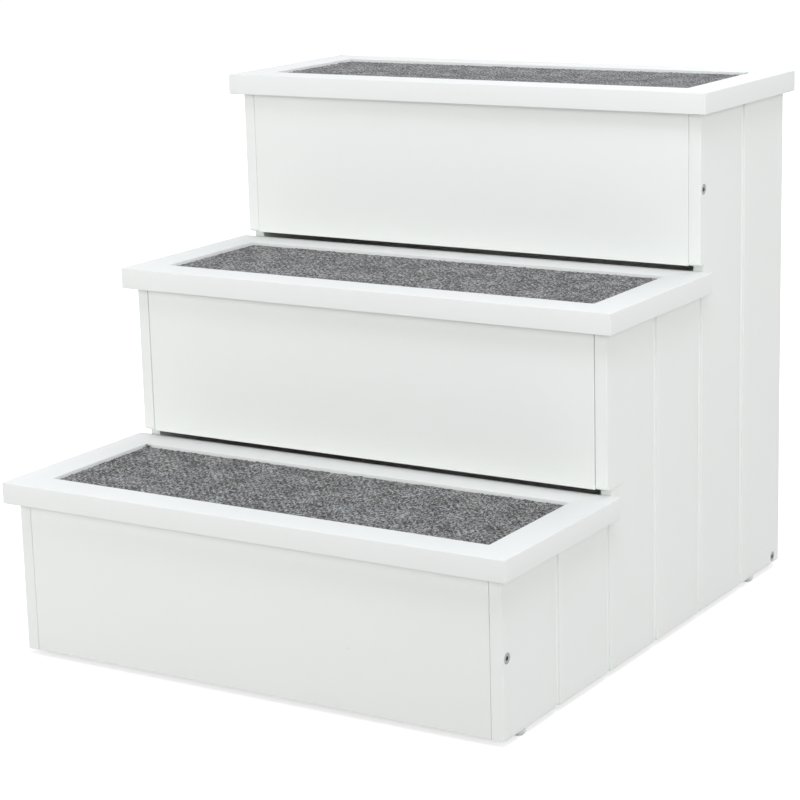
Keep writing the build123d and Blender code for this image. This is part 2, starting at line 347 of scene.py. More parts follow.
def rectangle_rings(length, width, inset, height, corner):
    """One ring of points for each inset, height and corner radius.

    A corner is the arc of its radius about a point that lies the radius inside both sides of the inset
    rectangle; the side from one corner to the next is divided evenly.
    """
    inset, height, corner = (np.asarray(value)[:, None, None] for value in (inset, height, corner))
    quarter = np.arange(4)[None, :, None]
    angle = (quarter - 1) * np.pi / 2 + np.linspace(0, np.pi / 2, CORNER_POINTS)[None, None, :]
    side_x = np.array([1, 1, -1, -1])[None, :, None]
    side_y = np.array([-1, 1, 1, -1])[None, :, None]
    x = side_x * (length / 2 - inset - corner) + corner * np.cos(angle)
    y = side_y * (width / 2 - inset - corner) + corner * np.sin(angle)
    share = np.linspace(0, 1, SIDE_POINTS + 2)[None, None, 1:-1]
    x, y = (np.concatenate([part, part[..., -1:] * (1 - share) + np.roll(part, -1, axis=1)[..., :1] * share],
                           axis=2) for part in (x, y))
    rows, columns = len(inset), x[0].size
    z = np.broadcast_to(height[..., 0], (rows, columns))
    return np.stack([x.reshape(rows, columns), y.reshape(rows, columns), z], axis=2)


def edge_profile(thickness, radius):
    """Insets and heights round the edge of a board, from its underside to its top face."""
    return np.concatenate([arc((radius, radius), radius, 270, 180),
                           arc((radius, thickness - radius), radius, 180, 90)])


print("points in a ring:", 4 * (CORNER_POINTS + SIDE_POINTS))

# %% [markdown]
# ## Treads
#
# A tread is one board, 15 mm thick, that has had a shallow pocket routed into its top for the carpet. The
# profile simply goes on: over the top face, round the small radius of the pocket's rim, down its wall and
# through the little cove that a router bit leaves at the floor.

# %% Treads
TREAD_EDGE, TREAD_CORNER = 0.5 * MM, 0.7 * MM
POCKET_RIM, POCKET_COVE, POCKET_DEPTH, POCKET_CORNER = 0.5 * MM, 0.4 * MM, 4.5 * MM, 1.2 * MM
CARPET_PLAY = 0.8 * MM


def tread_rings(node, carpet):
    """Rings of a tread from its underside over its rim to the floor of the pocket.

    The rings of each corner share one centre, those of the pocket as well as those of the outline.
    """
    low, high = box_of(node)
    length, width, thickness = high - low
    margin = box_of(carpet)[0][0] - low[0] - CARPET_PLAY
    outside = edge_profile(thickness, TREAD_EDGE)
    inside = np.concatenate([
        arc((margin - POCKET_RIM, thickness - POCKET_RIM), POCKET_RIM, 90, 0),
        arc((margin + POCKET_COVE, thickness - POCKET_DEPTH + POCKET_COVE), POCKET_COVE, 180, 270),
    ])
    corner = np.concatenate([TREAD_CORNER - outside[:, 0], POCKET_CORNER + margin - inside[:, 0]])
    profile = np.concatenate([outside, inside])
    rings = rectangle_rings(length, width, profile[:, 0], profile[:, 1], corner)
    return rings + np.array([*(low + high)[:2] / 2, low[2]])


for step in STEPS:
    rings = tread_rings(f"tread_{step}", f"carpet_{step}")
    tread = add_piece(f"lacquered_tread_{step}", rings, closed_stack(rings))
    dress(tread, shaded_tread_lacquer, "white_lacquer", f"tread_{step}")

# %% [markdown]
# ## Risers
#
# A riser is the same kind of board stood on its edge. Turning a ring by a quarter turn about the long axis
# brings its top face to the front. Its edges are only just broken, so that the seam against the side
# panels reads as a thin dark line.

# %% Risers
RISER_EDGE, RISER_CORNER = 0.5 * MM, 0.6 * MM
RISER_TRIM = {"lower": 0.08 * MM, "middle": 0.32 * MM, "upper": 0.0}


def standing_board(node, edge, corner, trim):
    """Rings of an upright board: the local height runs towards the front, the local depth runs up.

    The ends are trimmed by a little, as the board was sawn, so its seams differ in width.
    """
    low, high = box_of(node)
    length, thickness, height = high - low
    middle = (low + high) / 2
    profile = edge_profile(thickness, edge)
    flat = rectangle_rings(length - 2 * trim, height, profile[:, 0], profile[:, 1], corner - profile[:, 0])
    x, y, z = np.moveaxis(flat, 2, 0)
    return np.stack([x + middle[0], high[1] - z, y + middle[2]], axis=2)


for step in STEPS:
    rings = standing_board(f"riser_{step}", RISER_EDGE, RISER_CORNER, RISER_TRIM[step])
    riser = add_piece(f"lacquered_riser_{step}", rings, closed_stack(rings))
    dress(riser, board_lacquer, "white_lacquer", f"riser_{step}")

# %% [markdown]
# ## Side panels
#
# A side panel is a stepped board with upright grooves, so no single ring fits it. We lay a grid of lines
# over it instead, with lines wherever something happens: edges, grooves, notches, screws. Cells outside the
# stepped outline are dropped. Each point then gets its depth from formulas: the groove's own section, and a
# rounding that depends on the distance to the nearest edge of the outline.

# %% Outline of a side panel
PANEL_LOW, PANEL_HIGH = box_of("side_panel_right")
# Front of each riser, underside of each tread and lower edge of each riser.
PLANES = np.array([box_of(f"riser_{step}")[0][1] for step in STEPS])
SEATS = np.array([box_of(f"tread_{step}")[0][2] for step in STEPS])
LIPS = np.array([box_of(f"riser_{step}")[0][2] for step in STEPS])
NOTCH_PLAY = 3.0 * MM
NOTCH = box_of("tread_lower")[1][1] - PLANES[1] + NOTCH_PLAY
OUTER_X, INNER_X = PANEL_HIGH[0], PANEL_LOW[0]
REAR, BOTTOM, TOP = PANEL_HIGH[1], PANEL_LOW[2], PANEL_HIGH[2]
OUTLINE = [(PLANES[0], BOTTOM), (REAR, BOTTOM), (REAR, TOP), (PLANES[2], TOP)]
for number in (2, 1):
    OUTLINE += [(PLANES[number], LIPS[number]), (PLANES[number] + NOTCH, LIPS[number]),
                (PLANES[number] + NOTCH, SEATS[number - 1]), (PLANES[number - 1], SEATS[number - 1])]
OUTLINE = np.array(OUTLINE)


def edge_distance(y, z):
    """Distance from each point to the nearest side of the outline.

    The foot of the perpendicular on a side is found by projecting, and is held between the side's ends.
    """
    start, side = OUTLINE, np.roll(OUTLINE, -1, axis=0) - OUTLINE
    point = np.stack([y, z], axis=-1)[..., None, :] - start
    share = np.clip((point * side).sum(-1) / (side ** 2).sum(-1), 0, 1)
    return np.linalg.norm(point - share[..., None] * side, axis=-1).min(-1)


def front_of(z):
    """Depth of the panel's front edge at each height."""
    front = np.full_like(z, PLANES[0])
    for number in (1, 2):
        front = np.where(z > SEATS[number - 1], PLANES[number] + NOTCH, front)
        front = np.where(z > LIPS[number], PLANES[number], front)
    return front


print("outline corners:", len(OUTLINE))

# %% [markdown]
# The grid needs lines close together where the surface turns and few elsewhere. So each rounding, cove and
# groove gives the lines that cut its arc into equal angles, each screw gives the square round its well, and
# wide gaps are filled in evenly.

# %% Grooves, roundings and grid lines
GROOVE_HALF, GROOVE_DEPTH, GROOVE_COVE, GROOVE_BROW = 3.0 * MM, 2.0 * MM, 0.9 * MM, 0.8 * MM
BOARDS = 6
GROOVES = PLANES[0] + (REAR - PLANES[0]) / BOARDS * np.arange(1, BOARDS)
EDGE_ROUND, INNER_ROUND, LIP_ROUND = 0.7 * MM, 0.45 * MM, 2.5 * MM
ROUND_STEPS, LIP_STEPS = 6, 9
WELL_HALF = 4.6 * MM
GRID_SPACING, GRID_MERGE, GRID_DIGITS = 14 * MM, 0.015 * MM, 7
SCREW_NODES = ("riser_screws_lower", "riser_screws_upper", "rail_screws")
SCREW_PLACES = np.array([(box_of(node)[0] + box_of(node)[1])[1:] / 2 for node in SCREW_NODES])


def groove_section(y):
    """Depth of the grooves at each point along the panel.

    Measured from the middle of the nearest groove: flat floor, quarter-round cove, wall and rounded brow.
    """
    offset = np.abs(y[..., None] - GROOVES).min(-1)
    cove = GROOVE_HALF - GROOVE_COVE
    floor = np.clip(offset - cove, 0, GROOVE_COVE)
    depth = GROOVE_DEPTH - GROOVE_COVE + np.sqrt(GROOVE_COVE ** 2 - floor ** 2)
    brow = np.clip(GROOVE_HALF + GROOVE_BROW - offset, 0, GROOVE_BROW)
    return np.where(offset <= GROOVE_HALF, depth, GROOVE_BROW - np.sqrt(GROOVE_BROW ** 2 - brow ** 2))


def rounding(distance, radius):
    """How far a quarter-round edge falls back at each distance from it."""
    near = np.clip(radius - distance, 0, radius)
    return radius - np.sqrt(radius ** 2 - near ** 2)


def arc_offsets(radius, steps):
    """Distances from an edge that cut its rounding into equal angles: radius times 1 less the cosine."""
    return radius * (1 - np.cos(np.linspace(0, np.pi / 2, steps)))


def spread(*groups):
    """Sorted grid lines: all those given, with more between them where the spacing is wide."""
    lines = np.unique(np.round(np.concatenate([np.ravel(group) for group in groups]), GRID_DIGITS))
    lines = lines[np.concatenate([[True], np.diff(lines) > GRID_MERGE])]
    extra = [np.linspace(start, stop, int((stop - start) // GRID_SPACING) + 2)[1:-1]
             for start, stop in zip(lines[:-1], lines[1:])]
    return np.sort(np.concatenate([lines, *extra]))


# An upright wall of a groove or slot still takes this much of the grid.
WALL_STEP = 0.02 * MM
SLOT_PLAY, SLOT_DEPTH = 0.2 * MM, 4.0 * MM
BACK_LOW, BACK_HIGH = box_of("back_panel")
SLOT = np.array([BACK_LOW[1] - SLOT_PLAY, BACK_HIGH[1] + SLOT_PLAY])
edge_offsets, lip_offsets = arc_offsets(EDGE_ROUND, ROUND_STEPS), arc_offsets(LIP_ROUND, LIP_STEPS)
cove_offsets = GROOVE_HALF - GROOVE_COVE + GROOVE_COVE * np.sin(np.linspace(0, np.pi / 2, ROUND_STEPS))
brow_offsets = GROOVE_HALF + WALL_STEP + arc_offsets(GROOVE_BROW, ROUND_STEPS)
groove_offsets = np.concatenate([cove_offsets, brow_offsets])
well_offsets = np.array([-WELL_HALF, -WELL_HALF / 2, 0, WELL_HALF / 2, WELL_HALF])
y_lines = spread(PLANES[:, None] + edge_offsets, REAR - edge_offsets, PLANES[1:] + NOTCH,
                 PLANES[1:, None] + lip_offsets, GROOVES[:, None] + groove_offsets,
                 GROOVES[:, None] - groove_offsets, SCREW_PLACES[:, :1] + well_offsets,
                 SLOT, SLOT + np.array([WALL_STEP, -WALL_STEP]))
z_lines = spread(BOTTOM + edge_offsets, SEATS[:, None] - edge_offsets, LIPS[1:, None] + lip_offsets,
                 SCREW_PLACES[:, 1:] + well_offsets, BACK_LOW[2] + np.array([0, WALL_STEP]))
print("grid over a side panel:", len(y_lines), "by", len(z_lines), "lines")

# %% [markdown]
# Depth is then a plain sum over the whole grid at once: the face, less the groove, less the rounding. The
# grooves stop under a tread where a riser stands over them, because there the panel's front edge begins.

# %% Surface of a side panel
NUDGE = 0.001 * MM


def corner_squeeze(first, second):
    """Scale that presses the square about a corner's centre into a quarter circle.

    It is the larger of a point's two offsets from the centre over its distance from it.
    """
    return np.maximum(first, second) / np.maximum(np.hypot(first, second), NUDGE)


def panel_points():
    """Outer and inner points of the right panel on the grid, and which cells lie inside its outline.

    The outer depth is the panel's face less the groove's section and less the rounding near an edge. Round
    the lip over each notch the grid is pressed into a quarter circle.
    """
    y, z = np.meshgrid(y_lines, z_lines)
    middle_y, middle_z = (y_lines[1:] + y_lines[:-1]) / 2, (z_lines[1:] + z_lines[:-1]) / 2
    inside = middle_y[None, :] > front_of(middle_z)[:, None]
    distance = edge_distance(y, z)
    at_riser = np.abs(y[..., None] - PLANES[1:]) < GROOVE_HALF + GROOVE_BROW + NUDGE
    stopped = (at_riser & (z[..., None] > SEATS[:2] + NUDGE)).any(-1)
    outer = OUTER_X - np.where(stopped, 0, groove_section(y)) - rounding(distance, EDGE_ROUND)
    slot = (y > SLOT[0] + WALL_STEP / 2) & (y < SLOT[1] - WALL_STEP / 2) & (z > BACK_LOW[2] + WALL_STEP / 2)
    inner = INNER_X + SLOT_DEPTH * slot + rounding(distance, INNER_ROUND)
    for plane, lip in zip(PLANES[1:], LIPS[1:]):
        in_front, below = plane + LIP_ROUND - y, lip + LIP_ROUND - z
        corner = (in_front >= 0) & (below >= 0) & (z >= lip - NUDGE) & (y >= plane - NUDGE)
        squeeze = corner_squeeze(in_front, below)
        y = np.where(corner, plane + LIP_ROUND - in_front * squeeze, y)
        z = np.where(corner, lip + LIP_ROUND - below * squeeze, z)
    return np.stack([outer, y, z], axis=-1), np.stack([inner, y, z], axis=-1), inside


outer, inner, inside = panel_points()
print("points on the outer skin:", outer[..., 0].size, "cells inside the outline:", inside.sum())

# %% [markdown]
# The countersunk hole of a screw can't follow the grid, because it is round. Its rings are joined to the
# square of grid points about the screw instead, one ring point for each point of the square.

# %% Wells of the screws
# Radius and depth of each ring, from the panel's face down the countersink to the floor of the hole.
WELL_RINGS = np.array([(4.15, 0.0), (4.08, 0.06), (2.12, 2.02), (2.1, 5.0)]) * MM
WELL_SPAN = np.array([-WELL_HALF, WELL_HALF]) - NUDGE


def well_square(place):
    """Grid rows and columns of the points round the square about a screw, and the cells in it.

    The points go anticlockwise from the lower corner.
    """
    left, right = np.searchsorted(y_lines, place[0] + WELL_SPAN)
    lower, upper = np.searchsorted(z_lines, place[1] + WELL_SPAN)
    across, upwards = np.arange(left, right), np.arange(lower, upper)
    rows = [np.full_like(across, lower), upwards, np.full_like(across, upper), upwards[::-1] + 1]
    columns = [across, np.full_like(upwards, right), across[::-1] + 1, np.full_like(upwards, left)]
    return np.concatenate(rows), np.concatenate(columns), (slice(lower, upper), slice(left, right))


def well_points(place, rim):
    """Rings of a screw's well: each has a point in the same direction as each point of the square."""
    angle = np.arctan2(rim[:, 2] - place[1], rim[:, 1] - place[0])
    radius, depth = WELL_RINGS[:, :1], WELL_RINGS[:, 1:]
    return np.stack([OUTER_X - depth + 0 * angle, place[0] + radius * np.cos(angle),
                     place[1] + radius * np.sin(angle)], axis=-1)


print("screw wells on a side panel:", len(SCREW_PLACES))

# %% [markdown]
# Now the parts are joined: both skins, the wells, and walls wherever a cell inside the outline has no
# neighbour. The left panel is the same mesh mirrored, with its faces turned round so that they still point
# outwards.

# %% Mesh of a side panel
def side_walls(corners, count):
    """Faces from the outer skin to the inner one along every open side of the cells inside the outline."""
    around = np.pad(inside, 1)
    beside = [around[:-2, 1:-1], around[1:-1, 2:], around[2:, 1:-1], around[1:-1, :-2]]
    walls = []
    for side, neighbour in enumerate(beside):
        bare = corners[inside & ~neighbour]
        first, second = bare[:, side], bare[:, (side + 1) % 4]
        walls.append(np.stack([second, first, first + count, second + count], axis=-1))
    return walls


def panel_mesh():
    """Points and faces of the right panel: two skins, the walls between them, and a well for each screw."""
    used = np.zeros(outer.shape[:2], bool)
    for rows, columns in ((0, 0), (0, 1), (1, 0), (1, 1)):
        used[rows:rows + inside.shape[0], columns:columns + inside.shape[1]] |= inside
    number = np.cumsum(used).reshape(used.shape) - 1
    count = used.sum()
    corners = cell_corners(number)
    skin = inside.copy()
    points, faces = [outer[used], inner[used]], [corners[inside][:, ::-1] + count]
    total = 2 * count
    for place in SCREW_PLACES:
        rows, columns, square = well_square(place)
        skin[square] = False
        well = well_points(place, outer[rows, columns])
        added = total + np.arange(well[..., 0].size).reshape(well.shape[:2])
        rings = np.vstack([number[rows, columns], added])
        faces.append(cell_corners(np.hstack([rings, rings[:, :1]])).reshape(-1, 4))
        faces.append(rings[-1:])
        points.append(well.reshape(-1, 3))
        total += len(points[-1])
    faces += [corners[skin], *side_walls(corners, count)]
    return np.concatenate(points), [face for group in faces for face in group.tolist()]


points, faces = panel_mesh()
right_panel = add_piece("lacquered_side_right", points, faces)
left_panel = add_piece("lacquered_side_left", points * [-1, 1, 1], [face[::-1] for face in faces])
dress(right_panel, board_lacquer, "white_lacquer", "side_panel_right")
dress(left_panel, board_lacquer, "white_lacquer", "side_panel_left")

# %% [markdown]
# ## Carpets
#
# The carpet is needle felt, cut by hand and glued down, 1.5 mm below the rim. Its face isn't flat: the
# needles leave fine slanting rows, the glue pulls it down a little here and there, and the cut edge wanders
# by a few tenths of a millimetre. A dense grid carries that relief.

# %% Felt relief
TABLE = 256


def lattice_noise(x, y, size, seed):
    """Smooth random height of about -1 to 1: random values on a lattice, blended between its corners.

    The blend weights follow 3t^2 - 2t^3, so that the slope is level at every lattice point.
    """
    table = np.random.default_rng(seed).uniform(-1, 1, (TABLE, TABLE))
    u, v = x / size, y / size
    column, row = np.floor(u).astype(int), np.floor(v).astype(int)
    s, t = ((part ** 2) * (3 - 2 * part) for part in (u - column, v - row))
    row, column, above, beside = row % TABLE, column % TABLE, (row + 1) % TABLE, (column + 1) % TABLE
    near = table[row, column] * (1 - s) + table[row, beside] * s
    far = table[above, column] * (1 - s) + table[above, beside] * s
    return near * (1 - t) + far * t


FELT_ROW, FELT_SLANT = 4.0 * MM, math.radians(47.4)
PILE_RELIEF, GLUE_RELIEF = 0.36 * MM, 0.10 * MM
FINE_TUFT, COARSE_TUFT, GLUE_WAVE = 1.7 * MM, 4.3 * MM, 31 * MM


def felt_relief(x, y, seed):
    """Height of the felt: slanting needle rows, fine and coarse tufts and a slow wave from the glue."""
    across = x * math.sin(FELT_SLANT) + y * math.cos(FELT_SLANT)
    rows = np.sin(2 * np.pi * across / FELT_ROW)
    pile = 0.6 * lattice_noise(x, y, FINE_TUFT, seed) + 0.5 * lattice_noise(y, x, COARSE_TUFT, seed + 1)
    glue = lattice_noise(x, y, GLUE_WAVE, seed + 2)
    return PILE_RELIEF * (0.16 * rows + 0.84 * pile) + GLUE_RELIEF * glue


print("felt rows:", round(FELT_ROW / MM, 1), "mm apart, tufts:", round(FINE_TUFT / MM, 1), "mm")

# %% [markdown]
# A cut edge never runs straight: the outermost points are drawn inwards by a slow and a quick noise, and the
# powers of the position keep that pull close to the edge. A few tufts stand up there, and on two carpets a
# corner has come loose and turned up.

# %% Carpet outline and mesh
FELT_PITCH, FELT_CORNER = 0.8 * MM, 0.6 * MM
EDGE_WANDER, SLOW_WANDER, QUICK_WANDER = 0.6 * MM, 6 * MM, 1.6 * MM
PULL_ALONG, PULL_ACROSS = 60, 20
DROOP, DROOP_REACH, BORDER_REACH = 0.45 * MM, 1.6 * MM, 1.4 * MM
TUFT_HEIGHT, TUFT_SIZE, CURL_HEIGHT, CURL_REACH = 1.1 * MM, 1.5 * MM, 3.0 * MM, 7.0 * MM


def felt_outline(half, seed):
    """Places of the face's points about its middle, and the distance of each from the cut edge.

    An even grid is pressed into a rectangle with rounded corners, and noise draws its outermost points in.
    """
    counts = np.round(2 * half / FELT_PITCH).astype(int)
    u, v = np.meshgrid(np.linspace(-1, 1, counts[0] + 1), np.linspace(-1, 1, counts[1] + 1))
    x, y = u * half[0], v * half[1]
    straight = half - FELT_CORNER
    beyond_x, beyond_y = np.abs(x) - straight[0], np.abs(y) - straight[1]
    near = (beyond_x > 0) & (beyond_y > 0)
    squeeze = corner_squeeze(beyond_x, beyond_y)
    x = np.where(near, np.sign(x) * (straight[0] + beyond_x * squeeze), x)
    y = np.where(near, np.sign(y) * (straight[1] + beyond_y * squeeze), y)
    wander = EDGE_WANDER * (0.5 + 0.35 * lattice_noise(x + y, x - y, SLOW_WANDER, seed + 3)
                            + 0.35 * lattice_noise(x - y, x + y, QUICK_WANDER, seed + 4))
    x = x - np.sign(x) * wander * np.abs(u) ** PULL_ALONG
    y = y - np.sign(y) * wander * np.abs(v) ** PULL_ACROSS
    return x, y, np.minimum((1 - np.abs(u)) * half[0], (1 - np.abs(v)) * half[1])


def felt_sheet(node, seed, curl):
    """Points and faces of one carpet: a relief face, a flat underside and the cut edge between them.

    The face falls off towards the edge with the square of the nearness, tufts are the peaks of a fine noise
    along the edge, and the corner named by curl is turned up. The last result tells how near each point is
    to the cut edge, from 0 to 1.
    """
    low, high = box_of(node)
    middle, half = (low + high)[:2] / 2, (high - low)[:2] / 2
    x, y, edge = felt_outline(half, seed)
    droop = DROOP * np.clip(1 - edge / DROOP_REACH, 0, 1) ** 2
    face = high[2] - PILE_RELIEF - GLUE_RELIEF - droop + felt_relief(x, y, seed)
    border = np.clip(1 - edge / BORDER_REACH, 0, 1)
    peaks = np.clip(lattice_noise(x + y, x - y, TUFT_SIZE, seed + 5) - 0.25, 0, 1)
    from_curl = np.hypot(x - curl[0] * half[0], y - curl[1] * half[1])
    curled = CURL_HEIGHT * np.clip(1 - from_curl / CURL_REACH, 0, 1) ** 2 if any(curl) else 0
    z = np.minimum(face, high[2]) + TUFT_HEIGHT * border * peaks + curled
    top = np.stack([x + middle[0], y + middle[1], z], axis=-1)
    rows, columns = top.shape[:2]
    number = np.arange(rows * columns).reshape(rows, columns)
    rim = np.concatenate([number[0, :-1], number[:-1, -1], number[-1, :0:-1], number[:0:-1, 0]])
    foot = top.reshape(-1, 3)[rim] * [1, 1, 0] + [0, 0, low[2]]
    below = rows * columns + np.arange(len(rim))
    walls = np.stack([below, np.roll(below, -1), np.roll(rim, -1), rim], axis=-1)
    points = np.concatenate([top.reshape(-1, 3), foot])
    faces = cells(rows, columns).tolist() + walls.tolist() + [below[::-1].tolist()]
    return points, faces, np.concatenate([border.ravel(), np.ones(len(foot))])


# Which corner of each carpet is turned up: its side in x and in y, or none.
CURLED_CORNERS = {"lower": (-1, 1), "middle": (0, 0), "upper": (1, 1)}
FELT_SEEDS = {"lower": 3, "middle": 14, "upper": 25}
felt_meshes = {step: felt_sheet(f"carpet_{step}", FELT_SEEDS[step], CURLED_CORNERS[step]) for step in STEPS}
print("points in each carpet:", [len(points) for points, faces, border in felt_meshes.values()])

# %% [markdown]
# Up close, grey felt is a mix of nearly black, grey and almost white fibres, and no two patches have the
# same share of each. Noises of several sizes add up to one tone, a ramp turns the tone into greys, and a
# slow tint makes some patches cooler. The needle rows of the relief return faintly in the tone.

# %% Felt finish
# Position and grey of each stop; a ramp starts with its first and last stop, so they come first.
FELT_STOPS = ((0.0, 0.018), (1.0, 0.41), (0.35, 0.053), (0.65, 0.122))
TONE_LOW, TONE_HIGH = 0.397, 0.578
GREEN_TINT, COOL_TINT = (0.985, 1.0, 0.985, 1), (0.952, 1.0, 1.03, 1)
LINT_COLOUR = grey(0.75)
FIBRE_DEPTH = 0.5 * MM


def felt(name):
    """Heathered grey needle felt: light and dark fibres, slanting needle rows, slow patches of tone,
    and a slightly darker band at the cut edge, partly denser fibre and partly painted shade.

    The rows are the sine of the way along their wave vector, which points across them.
    """
    finish = Finish(name)
    wave = 2 * math.pi / FELT_ROW
    vector = (wave * math.sin(FELT_SLANT), wave * math.cos(FELT_SLANT), 0.0)
    way = finish.node("ShaderNodeVectorMath", {"operation": "DOT_PRODUCT"}, {0: finish.place, 1: vector},
                      "Value")
    phase = way + finish.noise(60.0) * 2.0
    rows = finish.node("ShaderNodeMath", {"operation": "SINE"}, {0: phase}) * 0.5 + 0.5
    fibres = finish.noise(1900.0, detail=3.0, roughness=0.75, stretch=(1.0, 0.5, 1.0))
    flecks = finish.noise(1000.0, detail=2.0, roughness=0.6, stretch=(1.0, 0.45, 1.0))
    clumps = finish.noise(210.0, detail=2.0, roughness=0.7)
    patches = finish.noise(55.0, detail=2.0)
    border = finish.node("ShaderNodeAttribute", {"attribute_name": "border"}, None, "Fac")
    # The band by the cut edge is a little darker: partly the denser fibre there, partly painted shade along
    # the cut edge.
    tone = finish.between(fibres * 0.28 + flecks * 0.47 + clumps * 0.12 + rows * 0.023 + patches * 0.10
                          - border * 0.035, TONE_LOW, TONE_HIGH)
    stops = [(position, grey(value)) for position, value in FELT_STOPS]
    fibre_grey = finish.node("ShaderNodeValToRGB", {"stops": stops}, {"Fac": tone})
    tint = finish.blend(finish.between(finish.noise(75.0), 0.38, 0.62), GREEN_TINT, COOL_TINT)
    colour = finish.blend(1.0, fibre_grey, tint, mode="MULTIPLY")
    lint_size = finish.between(finish.noise(13.0), 0.5, 0.65) * 0.016
    colour = finish.blend((finish.spots(24.0) < lint_size) * 0.8, colour, LINT_COLOUR)
    finish.bump(fibres * 0.6 + flecks * 0.4, FIBRE_DEPTH)
    return finish.shade(Base_Color=colour, Roughness=0.95, Specular_IOR_Level=0.06, Sheen_Weight=0.17,
                        Sheen_Roughness=0.4)


grey_felt = felt("grey_needle_felt")
for step, (points, faces, border) in felt_meshes.items():
    carpet = add_piece(f"felt_carpet_{step}", points, faces)
    # The border attribute, 1 at the cut edge, darkens the felt there: partly denser fibre, partly painted
    # shade.
    carpet.data.attributes.new("border", "FLOAT", "POINT").data.foreach_set("value", border)
    dress(carpet, grey_felt, "grey_felt", f"carpet_{step}")

# %% [markdown]
# ## Screws
#
# The screws through the side panels are countersunk, with a hexagon socket and a plated finish. A turned
# piece is a stack of rings, and a socket only means that some rings are hexagons: their radius is the
# distance to the flat over the cosine of the angle from its middle.

# %% Screw shape
SCREW_ANGLES = 48
# Radii, then the lengths of the screw and its point, and how far its cone lies below the face.
HEAD, SHANK, SOCKET, POINT = 3.8 * MM, 2.0 * MM, 1.5 * MM, 0.3 * MM
SCREW_LENGTH, POINT_LENGTH, CONE_DROP = 40 * MM, 1.5 * MM, 0.1 * MM
SOCKET_BEVEL, SOCKET_DEPTH = 0.10 * MM, 2.0 * MM
# Inset and depth of three rings round the turned edge of the head.
HEAD_EDGE = ((0.0, 0.14 * MM), (0.03 * MM, 0.05 * MM), (0.14 * MM, 0.0))


def screw_rings(length):
    """Rings of a screw along its axis, from its tip at the bottom to the floor of its socket.

    Each ring is a radius, a height under the head's face and a shape: a circle or the socket's hexagon.
    """
    angle = np.linspace(0, 2 * np.pi, SCREW_ANGLES, endpoint=False)
    hexagon = 1 / np.cos((angle + np.pi / 6) % (np.pi / 3) - np.pi / 6)
    circle = np.ones_like(angle)
    rings = [(POINT, -length, circle), (SHANK, -length + POINT_LENGTH, circle),
             (SHANK, SHANK - HEAD - CONE_DROP, circle)]
    rings += [(HEAD - inset, -depth, circle) for inset, depth in HEAD_EDGE]
    rings += [(HEAD * 0.62, 0, circle), (SOCKET * 1.06, 0, hexagon), (SOCKET, -SOCKET_BEVEL, hexagon),
              (SOCKET * 0.99, -SOCKET_DEPTH, hexagon)]
    radius = np.array([size * shape for size, height, shape in rings])
    height = np.array([[height] for size, height, shape in rings]) + 0 * angle
    return radius * np.cos(angle), radius * np.sin(angle), height


def screw_pair(node):
    """Points and faces of the two screws of a CAD node, one from each side.

    The second screw is the first turned half round the upright axis, so its faces keep their order.
    """
    low, high = box_of(node)
    place = (low + high) / 2
    u, v, w = screw_rings(SCREW_LENGTH)
    points, faces = [], []
    for number, side in enumerate((-1, 1)):
        rings = np.stack([side * (high[0] + w), place[1] + side * u, place[2] + v], axis=-1)
        before = number * rings[..., 0].size
        faces += [[corner + before for corner in face] for face in closed_stack(rings)]
        points.append(rings.reshape(-1, 3))
    return np.concatenate(points), faces


print("rings in a screw:", len(screw_rings(SCREW_LENGTH)[0]))

# %% [markdown]
# Zinc plating is a dull mirror. Its tone is mottled, and a very shallow bump stands for the turning marks, so
# that the small highlight spreads over the head.

# %% Screw finish and pieces
STEEL_DARK, STEEL_LIGHT = (0.19, 0.21, 0.20, 1), (0.42, 0.45, 0.435, 1)
TURNING_DEPTH = 0.02 * MM


def plated_steel(name):
    """Zinc-plated steel: faintly mottled, with fine turning marks and a soft shine."""
    finish = Finish(name)
    mottle = finish.noise(900.0, detail=3.0)
    fine = finish.noise(5200.0, detail=1.0)
    colour = finish.blend(mottle, STEEL_DARK, STEEL_LIGHT)
    finish.bump(fine, TURNING_DEPTH)
    return finish.shade(Base_Color=colour, Metallic=1.0, Roughness=0.30 + mottle * 0.18)


steel = plated_steel("zinc_plate")
for node in SCREW_NODES:
    points, faces = screw_pair(node)
    dress(add_piece(f"socket_{node}", points, faces), steel, "zinc_steel", node)

# %% [markdown]
# ## Glides
#
# Each panel stands on two small moulded glides of milky plastic. Their edge is a soft dome, which the cone
# in the CAD model only hints at, so we turn a new profile inside the same box.

# %% Glides
GLIDE_ANGLES, DOME_STEPS = 56, 13
DOME_WIDTH, DOME_HEIGHT, SOLE_INSET = 2.6 * MM, 3.2 * MM, 3.4 * MM
BRIM_EDGE, BRIM_INSET = 0.2 * MM, 1.2 * MM
PLASTIC_DARK, PLASTIC_LIGHT = grey(0.56, -0.01), grey(0.66, -0.01)
MOULD_DEPTH = 0.02 * MM


def glide_rings(low, high):
    """Rings of a glide: small flat sole, domed edge and a short brim under the panel.

    The dome is a quarter of an ellipse, level where it leaves the sole and upright where it meets the brim.
    """
    radius, foot = (high[0] - low[0]) / 2, high[2] - low[2]
    turn = np.linspace(-np.pi / 2, 0, DOME_STEPS)
    dome = np.stack([radius - DOME_WIDTH + DOME_WIDTH * np.cos(turn),
                     DOME_HEIGHT + DOME_HEIGHT * np.sin(turn)], axis=1)
    sole = [(radius - SOLE_INSET, 0)]
    brim = [(radius, foot - BRIM_EDGE), (radius - BRIM_EDGE, foot), (radius - BRIM_INSET, foot)]
    profile = np.concatenate([sole, dome, brim])
    angle = np.linspace(0, 2 * np.pi, GLIDE_ANGLES, endpoint=False)
    across, height = profile[:, :1], profile[:, 1:]
    rings = np.stack([across * np.cos(angle), across * np.sin(angle), height + 0 * angle], axis=-1)
    return rings + np.array([*(low + high)[:2] / 2, low[2]])


